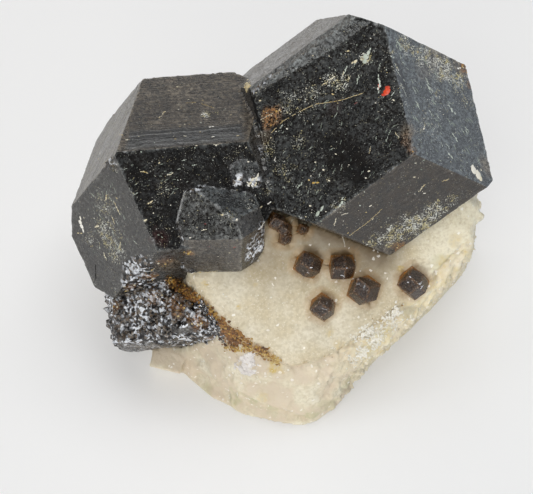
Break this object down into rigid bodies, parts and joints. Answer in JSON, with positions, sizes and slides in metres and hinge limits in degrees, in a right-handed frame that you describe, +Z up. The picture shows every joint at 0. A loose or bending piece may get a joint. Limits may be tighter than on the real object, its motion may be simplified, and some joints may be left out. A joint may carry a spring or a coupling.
{
  "type": "garnet in matrix",
  "caption": "Mineral specimen: large black dodecahedral garnet crystals grown together on a lump of white calcite with small brown garnets, resting on a flat broken base.",
  "frame": {"origin": "centre of the bounding box, on the flat base", "axes": "+Z up, +X to the right across both large crystals, the viewed side faces -Y and up"},
  "size_m": [0.0518, 0.043, 0.044],
  "materials": {
    "calcite": "white to cream sugary calcite, stained yellow and brown along its breaks",
    "black_garnet": "glossy black crystal faces with fine specks and growth lines, sparkling where broken",
    "brown_garnet": "glossy dark brown crystals, slightly see-through at the rims"
  },
  "bodies": {
    "root": {"matrix": "calcite", "garnet_cluster": "black_garnet", "small_garnet_1": "brown_garnet", "small_garnet_2": "brown_garnet", "small_garnet_3": "brown_garnet", "small_garnet_4": "brown_garnet", "small_garnet_5": "brown_garnet", "tiny_garnet": "brown_garnet", "tiny_garnet_group": "brown_garnet"}
  },
  "joints": []
}
